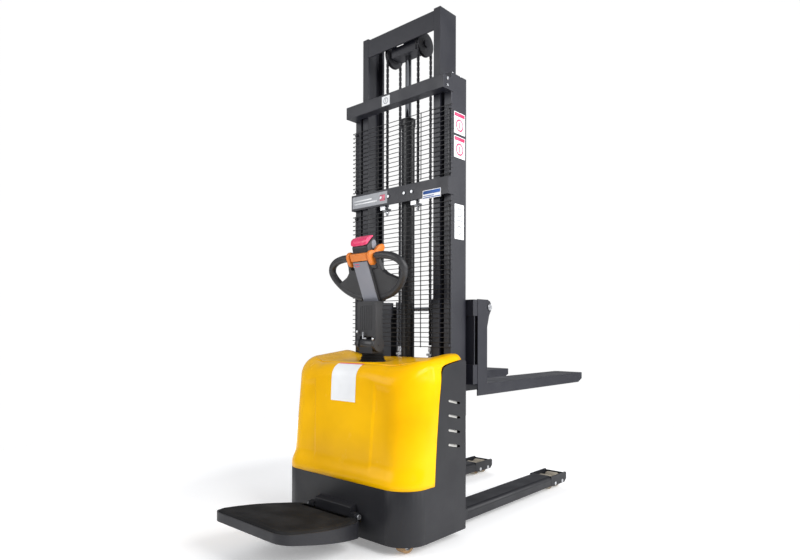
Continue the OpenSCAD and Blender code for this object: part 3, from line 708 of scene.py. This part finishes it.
def make_paddles():
    """Rocking throttle paddles on both sides of the head, on one shaft."""
    outline = spline([(-0.010, 0.182), (-0.009, 0.202), (0.002, 0.215), (0.018, 0.218),
                      (0.034, 0.211), (0.046, 0.212), (0.062, 0.221), (0.084, 0.226),
                      (0.103, 0.221), (0.108, 0.207), (0.098, 0.196), (0.078, 0.191),
                      (0.056, 0.189), (0.043, 0.181), (0.034, 0.162), (0.018, 0.150),
                      (0.000, 0.154), (-0.009, 0.166)], 4, closed=True)
    middle = Vector((0.035, 0.196))
    bm = bmesh.new()
    for side in (-1, 1):
        rings = []
        for x, grow in ((0.0582, 0.88), (0.0600, 0.96), (0.0630, 1.0), (0.0710, 1.0),
                        (0.0745, 0.95), (0.0760, 0.86)):
            ring = [middle + (p - middle) * grow for p in outline]
            rings.append([head_point(side * x, p.x, p.y) for p in ring])
        loft(bm, rings)
    piece("throttle_paddles", bm, ORANGE, "throttle", ["throttle"], 50)
    bm = bmesh.new()
    centre = head_point(0, SHAFT_DEPTH, SHAFT_UP)
    lathe(bm, [(TIP, -0.0775), (0.005, -0.0775), (0.0058, -0.0765), (0.0058, 0.0765),
               (0.005, 0.0775), (TIP, 0.0775)], centre, (1, 0, 0), 24)
    piece("throttle_shaft", bm, ZINC, "throttle")


def make_belly_cap():
    """Domed red cap over the top of the head, on its plunger."""
    outline = spline([(0.017, 0.243), (0.0175, 0.254), (0.024, 0.266), (0.038, 0.2735),
                      (0.058, 0.2755), (0.076, 0.2745), (0.0815, 0.2715), (0.070, 0.2665),
                      (0.052, 0.2590), (0.034, 0.2505), (0.024, 0.2455)], 4, closed=True)
    middle = Vector((0.046, 0.262))
    bm = bmesh.new()
    rings = []
    for i in range(13):
        x = lerp(-HEAD_HALF, HEAD_HALF, i / 12)
        x = math.copysign(HEAD_HALF * (abs(x) / HEAD_HALF) ** 0.6, x)
        grow = 1 - 0.16 * (abs(x) / HEAD_HALF) ** 6
        rings.append([head_point(x, *(middle + (p - middle) * grow)) for p in outline])
    loft(bm, rings)
    piece("belly_cap", bm, RED, "belly_button", ["belly_button"], 50)
    bm = bmesh.new()
    lathe(bm, [(TIP, 0), (0.0068, 0), (0.0068, 0.036), (TIP, 0.036)],
          head_point(0, 0.046, 0.225), HEAD_UP, 24)
    piece("belly_plunger", bm, ZINC, "belly_button")


# ---- tiller arm and boot ----

def make_arm_fittings():
    """Two screws and a stop bracket on the operator's side of the tiller arm."""
    front = lo("tiller_arm")[1]
    foot, ledge, top = 0.872, 0.878, 0.904
    bm = bmesh.new()
    for x, z in ((-0.050, 0.905), (0.0515, 0.872)):
        lathe(bm, [(TIP, 0.0035), (0.004, 0.0035), (0.0062, 0.0020), (0.0065, 0.0), (TIP, 0.0)],
              (x, front, z), (0, -1, 0), 24)
    prism(bm, [(-0.012, foot), (0.014, foot), (0.014, ledge), (-0.005, ledge), (-0.005, top),
               (-0.012, top)], lambda a, b, d: Vector((a, front - 0.0005 - d, b)), 0.004)
    piece("arm_fittings", bm, ZINC, "tiller", edges=0.0006)


def make_boot():
    """Rubber bellows around the steering column, on the cover."""
    low, high, centre = lo("tiller_boot"), hi("tiller_boot"), mid("tiller_boot")
    wide = (high[0] - low[0]) / 2
    height = high[2] - low[2]
    bore = 0.030
    folds = 4
    profile = [(bore, 0.0), (wide, 0.0), (wide, 0.003), (wide - 0.001, 0.0045)]
    for i in range(folds * 8 + 1):
        t = i / (folds * 8)
        wave = math.sin(2 * math.pi * folds * t - math.pi / 2)
        profile.append((lerp(wide - 0.0045, wide - 0.0125, t) + 0.0026 * wave,
                        lerp(0.006, height - 0.003, t)))
    profile += [(wide - 0.014, height - 0.001), (wide - 0.016, height), (bore, height)]
    bm = bmesh.new()
    lathe_ring(bm, profile, (centre[0], centre[1], low[2]), (0, 0, 1), 64)
    piece("bellows_boot", bm, RUBBER, "drive_unit", ["tiller_boot"], 60)


# ---- mast guard ----

WIRE_PITCH = 0.022
WIRE_R = 0.0018
CLAMP_X = 0.300


def make_guard():
    """Two panels of horizontal wires on upright wires, with clamps on the mast channels."""
    low, high = lo("mesh_guard"), hi("mesh_guard")
    plane = low[1] + WIRE_R
    half = high[0]
    panels = [(low[2] + 0.004, lo("mid_beam")[2] - 0.030),
              (hi("mid_beam")[2] + 0.016, high[2] - 0.004)]
    corner = [(half - 0.012, 0.0), (half - 0.006, 0.0006), (half - 0.0025, 0.003),
              (half - 0.0018, 0.008), (half - 0.0018, 0.013)]
    bm = bmesh.new()
    for bottom, top in panels:
        for i in range(int((top - bottom) / WIRE_PITCH + 1.001)):
            z = bottom + WIRE_PITCH * i
            left = [Vector((-x, plane + y, z)) for x, y in reversed(corner)]
            right = [Vector((x, plane + y, z)) for x, y in corner]
            tube(bm, left + right, WIRE_R, 8)
        for x in (-CLAMP_X, -0.140, 0.140, CLAMP_X):
            ends = [Vector((x, plane + 0.0032, z)) for z in (bottom - 0.004, top + 0.004)]
            tube(bm, ends, WIRE_R + 0.0004, 8)
    piece("guard_wires", bm, BLACK_STEEL, "truck", ["mesh_guard"], 60)
    face = plane + 0.0035
    bm = bmesh.new()
    for bottom, top in panels:
        for x in (-CLAMP_X, CLAMP_X):
            for z in (bottom + 0.008, top - 0.008):
                block(bm, (x - 0.008, face, z - 0.006), (x + 0.008, high[1], z + 0.006))
                lathe(bm, [(TIP, 0.0028), (0.0035, 0.0025), (0.0045, 0.0), (TIP, 0.0)],
                      (x, face, z), (0, -1, 0), 16)
    piece("guard_clamps", bm, MAST, "truck", edges=0.0007)


# ---- leaf chains ----

PITCH = 0.0127
PLATE_THICK = 0.0018
PLATE_GAP = 0.0002
PLATE_HALF_WIDTH = 0.0052
CHAIN_R = 0.0475


def link_plate(bm, a, b, centre_x):
    """One figure-of-eight plate between two pin centres, lying across the X axis."""
    along = (b - a).normalized()
    across = along.cross(Vector((1, 0, 0)))
    outline = []
    for end in (1, -1):
        for k in range(7):
            angle = math.radians(-75 + 150 * k / 6)
            reached = (b - a).length / 2 + PLATE_HALF_WIDTH * math.cos(angle)
            outline.append((a + b) / 2 + end * along * reached
                           + across * PLATE_HALF_WIDTH * math.sin(angle) * end)
    loft(bm, [[Vector((centre_x + x, p.y, p.z)) for p in outline]
              for x in (-PLATE_THICK / 2, PLATE_THICK / 2)])


def chain_run(bm, x, centres):
    """Interleaved leaf-chain plates and pins along a list of pin centres."""
    for i, (a, b) in enumerate(zip(centres, centres[1:])):
        for k in (-2, 0, 2) if i % 2 else (-1, 1):
            link_plate(bm, a, b, x + k * (PLATE_THICK + PLATE_GAP))
    for p in centres:
        lathe(bm, [(TIP, -0.0062), (0.0022, -0.0060), (0.0022, 0.0060), (TIP, 0.0062)],
              (x, p.y, p.z), (1, 0, 0), 8)


def strand_pins(x, y, top, foot):
    """Pin centres of a hanging strand, from the sheave's level down."""
    count = int((top - foot) / PITCH)
    return [Vector((x, y, top - PITCH * i)) for i in range(count + 1)]


def make_chains():
    """Each chain rises from its anchor on the mast, turns over its sheave and falls to the carriage."""
    for name in ("left", "right"):
        hub = mid("pulley_" + name)
        x = hub.x
        rear_y = hub.y - CHAIN_R
        front_y = hub.y + CHAIN_R
        foot = lo("rear_chains")[2]
        bm = bmesh.new()
        chain_run(bm, x, strand_pins(x, rear_y, hub.z, foot)[::-1])
        strand = piece("rear_chain_" + name, bm, CHAIN, None, ["rear_chains"], 50)
        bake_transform(strand)
        turns = round(math.pi * CHAIN_R / PITCH)
        over = [Vector((x, hub.y - CHAIN_R * math.cos(math.pi * i / turns),
                        hub.z + CHAIN_R * math.sin(math.pi * i / turns))) for i in range(turns + 1)]
        bm = bmesh.new()
        chain_run(bm, x, over)
        piece("sheave_wrap_" + name, bm, CHAIN, "inner_mast", angle=50)
        foot = lo("front_chains")[2]
        bm = bmesh.new()
        chain_run(bm, x, strand_pins(x, front_y, hub.z, foot))
        strand = piece("front_chain_" + name, bm, CHAIN, None, ["front_chains"], 50)
        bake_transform(strand)


# ---- stickers ----

def ring_mark(bm, middle, u, v, size):
    """Flat ring with a bar inside it, on the plane of the unit vectors u and v."""
    sides = 28
    rows = [[bm.verts.new(middle + u * r * math.cos(2 * math.pi * i / sides)
                          + v * r * math.sin(2 * math.pi * i / sides)) for i in range(sides)]
            for r in (size * 0.74, size)]
    grid_faces(bm, rows, close=True)
    patch(bm, middle - u * size * 0.12 - v * size * 0.5, u * size * 0.24, v * size)


def patch(bm, corner, u, v):
    """Flat rectangle from a corner along two edge vectors."""
    bm.faces.new([bm.verts.new(corner + p) for p in (Vector(), u, u + v, v)])


def make_sticker(name, corner, u, v, backing, marks):
    """Thin label with coloured marks, each (material, kind, a, b, w, h) in shares of the label."""
    out = u.cross(v).normalized()
    bm = bmesh.new()
    prism(bm, rounded_rect(0.5, 0.5, 0.03, 3),
          lambda a, b, d: corner + u * (a + 0.5) + v * (b + 0.5) + out * d, 0.0004)
    piece(name, bm, backing, "truck", angle=30)
    for k, (material, kind, a, b, w, h) in enumerate(marks):
        bm = bmesh.new()
        place = corner + u * a + v * b + out * 0.0005
        if kind == "bar":
            patch(bm, place, u * w, v * h)
        else:
            size = min(u.length * w, v.length * h) / 2
            ring_mark(bm, place + u * w / 2 + v * h / 2, u.normalized(), v.normalized(), size)
        made = piece(name + "_mark_" + str(k), bm, material, "truck")
        made.modifiers.new("thickness", "SOLIDIFY").thickness = 0.0002


def make_stickers():
    """Generic labels on the right mast column and on the cross beams."""
    side = hi("outer_column_right")[0]
    right, along, up = (Vector(axis) for axis in ((1, 0, 0), (0, 1, 0), (0, 0, 1)))
    for k, z in enumerate((1.702, 1.812)):
        make_sticker("column_label_" + str(k), Vector((side, FRONT + 0.028, z)),
                     along * 0.084, up * 0.098, LABEL_WHITE,
                     [(RED, "bar", 0.04, 0.80, 0.92, 0.17), (RED, "ring", 0.16, 0.08, 0.68, 0.66)])
    make_sticker("column_label_low", Vector((side, FRONT + 0.034, 1.330)),
                 along * 0.070, up * 0.160, LABEL_WHITE,
                 [(LABEL_GREY, "bar", 0.1, 0.52, 0.8, 0.03), (LABEL_GREY, "ring", 0.2, 0.62, 0.6, 0.28),
                  (LABEL_GREY, "ring", 0.2, 0.12, 0.6, 0.28)])
    face = lo("mid_beam")[1]
    make_sticker("beam_label_blue", Vector((0.165, face, 1.519)),
                 right * 0.107, up * 0.040, LABEL_WHITE,
                 [(BLUE, "bar", 0.03, 0.54, 0.94, 0.38), (BLUE, "bar", 0.03, 0.08, 0.94, 0.10),
                  (BLUE, "bar", 0.03, 0.28, 0.60, 0.10)])
    make_sticker("beam_plate", Vector((-0.306, face, 1.536)),
                 right * 0.245, up * 0.060, LABEL_GREY,
                 [(LABEL_PINK, "bar", 0.80, 0.25, 0.14, 0.50),
                  (LABEL_WHITE, "bar", 0.06, 0.30, 0.66, 0.10),
                  (LABEL_WHITE, "bar", 0.06, 0.55, 0.50, 0.10)])
    make_sticker("top_label", Vector((-0.062, lo("top_beam")[1], 1.996)),
                 right * 0.052, up * 0.046, LABEL_WHITE, [(LABEL_GREY, "ring", 0.2, 0.15, 0.6, 0.7)])


def make_cover_label():
    """White label on the cover's rear wall that folds over the rim, with a red strip at the top."""
    half, low, lift = 0.078, 0.600, 0.0009
    fold = math.radians(84)
    strip = math.sin(math.radians(70))
    wall_rows, fold_rows = 10, 20
    r = rim_radius(3)
    bm = bmesh.new()
    rows = []
    for j in range(wall_rows + fold_rows + 1):
        row = []
        a = fold * max(0.0, j / wall_rows - 1) / 2
        for i in range(9):
            x = lerp(-half, half, i / 8)
            edge = roof_height(x, BACK_Y + back_taper(RIM_Z) + r)
            z = lerp(low, edge - r, min(1.0, j / wall_rows))
            y = BACK_Y + back_taper(z) + panel_step(x, z) + r * (1 - math.cos(a))
            row.append(bm.verts.new((x, FRONT + y - lift * math.cos(a), z + (r + lift) * math.sin(a))))
        rows.append(row)
    grid_faces(bm, rows)
    label = piece("cover_label", bm, LABEL_WHITE, "truck")
    label.data.materials.append(RED)
    for face in label.data.polygons:
        face.material_index = 1 if face.normal.z > strip else 0


# ---- pale blades behind the side slots, a painted highlight for the lit louvre lips ----

SLOT_TILT = math.radians(12.5)
SLOT_Z = 0.4165
SLOT_PITCH = 0.0625


def make_louvres():
    """Pale blades behind the four slots of each side panel, tilted like the slots. Their pale colour is
    a painted highlight that stands in for the lit lips of the louvres.
    """
    along = Vector((0, math.cos(SLOT_TILT), -math.sin(SLOT_TILT)))
    across = Vector((0, math.sin(SLOT_TILT), math.cos(SLOT_TILT)))
    outline = [(-0.046, -0.008), (0.024, -0.008), (0.032, -0.003), (0.032, 0.008), (-0.046, 0.008)]
    bm = bmesh.new()
    for side in (-1, 1):
        for k in range(4):
            centre = Vector((side * (WIDE - 0.0062), FRONT - 0.084, SLOT_Z + SLOT_PITCH * k))

            def place(a, b, d):
                inwards = Vector((-side * (d + 0.10 * max(0.0, a)), 0, 0))
                return centre + along * a + across * b + inwards

            prism(bm, outline, place, 0.0012)
    piece("louvre_blades", bm, LOUVRE_HIGHLIGHT, "truck", edges=0.0004)


# ---- ride-on platform ----

MAT_THICK = 0.0087
MAT_EDGE = 0.003
MAT_CROWN = 0.010
MAT_ROUND = 0.020
MAT_REAR = lo("platform_mat")[1]
MAT_FRONT = hi("platform_mat")[1]
MAT_HIGH = hi("platform_mat")[2]
MAT_LOW = lo("platform_mat")[2] + MAT_THICK
NOTCH_HALF = 0.1243
NOTCH_Y = MAT_FRONT - 0.028
RIB_PITCH = 0.0085
RIB_RISE = 0.0013


def mat_top(y):
    """Height of the flat mat at depth y: it slopes down towards the truck."""
    return lerp(MAT_HIGH, MAT_LOW, (y - MAT_REAR) / (MAT_FRONT - MAT_REAR))


def mat_outline():
    """Outline of the mat, read from the CAD mat at 33 depths, with the notch round the bracket."""
    bend = [0.056 * (1 - math.cos(math.radians(9 * i))) for i in range(11)]
    depths = [MAT_REAR + d for d in bend] + [MAT_FRONT - d for d in reversed(bend)]
    depths[11:11] = [lerp(depths[10], depths[11], i / 12) for i in range(1, 12)]
    inside = [min(max(y, MAT_REAR + 1e-5), MAT_FRONT - 1e-5) for y in depths]
    right = [(reach("platform_mat", y), depth) for y, depth in zip(inside, depths)]
    right += [(NOTCH_HALF, MAT_FRONT), (NOTCH_HALF, NOTCH_Y)]
    return right + [(-x, y) for x, y in reversed(right)]


def add_rib(bm, x0, x1, y):
    """Raised rib across the mat at depth y, with sloping sides and ends."""
    rings = []
    for x, share_up in ((x0, 0.1), (x0 + 0.002, 1), (x1 - 0.002, 1), (x1, 0.1)):
        rise = RIB_RISE * share_up
        rings.append([Vector((x, y + dy, mat_top(y + dy) + MAT_CROWN - 0.0002 + dz))
                      for dy, dz in ((-0.0026, 0), (-0.0015, rise), (0.0015, rise), (0.0026, 0))])
    loft(bm, rings)


def make_platform_mat():
    """Crowned rubber mat with raised ribs, let into the platform and notched round its bracket."""
    outline = mat_outline()
    rings = [[Vector((x, y, mat_top(y) - MAT_THICK)) for x, y in outline]]
    for i in range(9):
        a = math.radians(90 * i / 8)
        inset = MAT_ROUND * (1 - math.cos(a))
        rise = (MAT_CROWN + MAT_EDGE) * math.sin(a) - MAT_EDGE
        rings.append([Vector((x, y, mat_top(y) + rise)) for x, y in shrunk(outline, inset)])
    bm = bmesh.new()
    loft(bm, rings)
    first = MAT_REAR + MAT_ROUND + RIB_PITCH / 2
    for i in range(int((MAT_FRONT - MAT_ROUND - first) / RIB_PITCH)):
        y = first + RIB_PITCH * i
        edge = reach("platform_mat", y) - MAT_ROUND
        if y > NOTCH_Y - MAT_ROUND:
            add_rib(bm, -edge, -NOTCH_HALF - MAT_ROUND, y)
            add_rib(bm, NOTCH_HALF + MAT_ROUND, edge, y)
        else:
            add_rib(bm, -edge, edge, y)
    piece("ribbed_mat", bm, RUBBER, "platform", ["platform_mat"], 40)


# ---- wheels ----

def make_tyre(name, node, body, half, material, rim_r):
    """Tyre with round shoulders. Its outer radius is that of the node."""
    r = (hi(node)[2] - lo(node)[2]) / 2
    shoulder = min(0.006, half * 0.35)
    cut = shoulder * 0.3
    profile = [(rim_r, -half + 0.001), (r - shoulder, -half), (r - cut, -half + cut),
               (r, -half + shoulder), (r, half - shoulder), (r - cut, half - cut),
               (r - shoulder, half), (rim_r, half - 0.001)]
    bm = bmesh.new()
    lathe_ring(bm, profile, mid(node), (1, 0, 0), 56)
    piece(name + "_tyre", bm, material, body, [node], 50)


def make_rim(name, node, body, half, material, hub_r, rim_r, bolts):
    """Dished rim with a hub as long as the node is wide."""
    hub_half = (hi(node)[0] - lo(node)[0]) / 2
    web = half - 0.007
    bore = hub_r * 0.55
    profile = [(bore, -hub_half), (hub_r - 0.001, -hub_half), (hub_r, -hub_half + 0.001),
               (hub_r + 0.001, -web), (rim_r - 0.004, -web), (rim_r - 0.001, -half + 0.002),
               (rim_r + 0.0004, -half + 0.002), (rim_r + 0.0004, half - 0.002),
               (rim_r - 0.001, half - 0.002), (rim_r - 0.004, web), (hub_r + 0.001, web),
               (hub_r, hub_half - 0.001), (hub_r - 0.001, hub_half), (bore, hub_half)]
    bm = bmesh.new()
    lathe_ring(bm, profile, mid(node), (1, 0, 0), 56)
    for side in (-1, 1):
        for k in range(bolts):
            a = 2 * math.pi * k / bolts
            place = Vector((side * web, 0.62 * rim_r * math.cos(a), 0.62 * rim_r * math.sin(a)))
            lathe(bm, [(TIP, 0.005), (0.006, 0.005), (0.007, 0.0), (TIP, 0.0)],
                  mid(node) + place, (side, 0, 0), 6)
    piece(name + "_rim", bm, material, body, angle=40)


def wheel(name, node, body, width, tyre, rim, hub_r, rim_r, bolts=0):
    """Tyre on a dished rim. node gives the place and the outer radius."""
    make_tyre(name, node, body, width / 2, tyre, rim_r)
    make_rim(name, node, body, width / 2, rim, hub_r, rim_r, bolts)


def make_wheels():
    """Load wheels in the legs, caster wheels and the drive wheel."""
    for label in ("left", "right"):
        for where in ("front", "rear"):
            wheel("load_" + where + "_" + label, "load_wheel_" + where[0] + label[0],
                  "load_wheel_" + where + "_" + label, 0.068, WHEEL_GREY, WHEEL_BROWN, 0.018, 0.030)
        wheel("caster_" + label, "caster_wheel_" + label, label + "_caster_wheel", 0.046,
              WHEEL_BROWN, ZINC, 0.011, 0.026)
    wheel("drive", "drive_wheel", "drive_wheel", 0.068, TREAD, MOTOR, 0.036, 0.085, bolts=6)


# ---- welds ----

def weld(bm, x0, x1, y, z, radius, rng):
    """Uneven weld bead along X."""
    run = spline([(x0, y, z), ((x0 + x1) / 2, y, z), (x1, y, z)], 14)
    steps = len(run) - 1
    radii = [radius * (1 + 0.22 * rng.random() + 0.18 * math.sin(i * 1.9)) for i in range(steps + 1)]
    tube(bm, run, lambda t: radii[min(steps, int(round(t * steps)))], 8)


def make_welds():
    """Beads between legs and mast base, on the mast columns and on the forks."""
    rng = random.Random(7)
    _, base_front, base_top = hi("mast_base")
    column = hi("outer_column_right")[0] - 0.020
    face = lo("outer_column_right")[1] - 0.001
    bm = bmesh.new()
    for side, leg in ((-1, "leg_left"), (1, "leg_right")):
        weld(bm, lo(leg)[0] + 0.012, hi(leg)[0] - 0.012, base_front + 0.001, base_top - 0.001,
             0.0028, rng)
        for z in (1.532, 1.600, 1.997, 2.047):
            weld(bm, side * column - 0.016, side * column + 0.016, face, z, 0.0020, rng)
    piece("truck_welds", bm, MAST, "truck", angle=60)
    bm = bmesh.new()
    for fork in ("fork_left", "fork_right"):
        weld(bm, lo(fork)[0] + 0.010, hi(fork)[0] - 0.010, FRONT + 0.2475,
             hi("carriage_frame")[2] - 0.394, 0.0032, rng)
    piece("carriage_welds", bm, MAST, "carriage", angle=60)


# ---- camera, lights, floor ----

def make_camera():
    """Camera behind the truck and to its right."""
    data = bpy.data.cameras.new("camera")
    cam = bpy.data.objects.new("camera", data)
    bpy.context.collection.objects.link(cam)
    data.sensor_width = 36
    data.lens = 26.72
    data.shift_y = 0.0634
    cam.rotation_euler = (math.radians(90), math.radians(-0.15), math.radians(41.98))
    cam.location = (1.9328, -2.3503, 0.9098)
    data.clip_end = 60
    bpy.context.scene.camera = cam


def area_light(name, place, target, size, power):
    """Square light that faces target."""
    data = bpy.data.lights.new(name, "AREA")
    data.size = size
    data.energy = power
    light = bpy.data.objects.new(name, data)
    bpy.context.collection.objects.link(light)
    light.location = place
    light.rotation_mode = "QUATERNION"
    light.rotation_quaternion = (Vector(target) - Vector(place)).to_track_quat("-Z", "Y")
    return light


def make_lights():
    """Four area lights and a dim, slightly blue sky."""
    area_light("key", (4.5, -0.7, 3.2), (0, 0, 0.8), 2.6, 225)
    area_light("fill", (-2.0, -4.4, 2.6), (0, -0.2, 0.8), 3.0, 100)
    area_light("side", (4.4, 2.2, 2.2), (0.2, 0.3, 0.7), 2.4, 124)
    rim = area_light("rim", (-3.2, 3.6, 3.4), (0, 0.3, 1.1), 3.0, 90)
    rim.visible_glossy = False
    world = bpy.data.worlds.new("studio")
    world.use_nodes = True
    sky = world.node_tree.nodes["Background"].inputs
    sky["Color"].default_value = (0.93, 0.95, 1.0, 1)
    sky["Strength"].default_value = 0.38
    bpy.context.scene.world = world


def make_floor():
    """White disc that glows more towards its edge, so that it runs into the backdrop."""
    bm = bmesh.new()
    bmesh.ops.create_circle(bm, cap_ends=True, segments=96, radius=3.4)
    white = Graph("floor_white", (0.88, 0.88, 0.88), 0.6, Emission_Color=(1, 1, 1, 1))
    distance = white.node("ShaderNodeVectorMath", operation="LENGTH")
    white.links.new(white.coords.outputs["Object"], distance.inputs[0])
    white.set("Emission Strength", white.ramp(distance.outputs["Value"], 1.4, 3.3, 0.24, 1.0))
    floor = add_mesh("floor", bm, white.mat)
    floor.location.z = -0.0005


def make_backdrop():
    """White sphere round everything that only the camera sees."""
    bm = bmesh.new()
    bmesh.ops.create_uvsphere(bm, u_segments=48, v_segments=24, radius=24)
    glow = Graph("backdrop_white", (0, 0, 0), 1.0, Emission_Strength=1.0,
                 Emission_Color=(1, 1, 1, 1))
    backdrop = add_mesh("backdrop", bm, glow.mat)
    backdrop.visible_diffuse = False
    backdrop.visible_glossy = False
    backdrop.visible_shadow = False


bpy.context.scene.view_settings.view_transform = "Standard"
make_camera()
make_lights()
make_floor()
make_backdrop()
dress_cad_nodes()
make_cover()
make_cover_label()
make_stickers()
make_louvres()
make_head_body()
make_loop_handle()
make_front_plate()
make_status_bars()
make_collar()
make_cheeks()
make_paddles()
make_belly_cap()
make_arm_fittings()
make_boot()
make_guard()
make_chains()
make_platform_mat()
make_wheels()
make_welds()
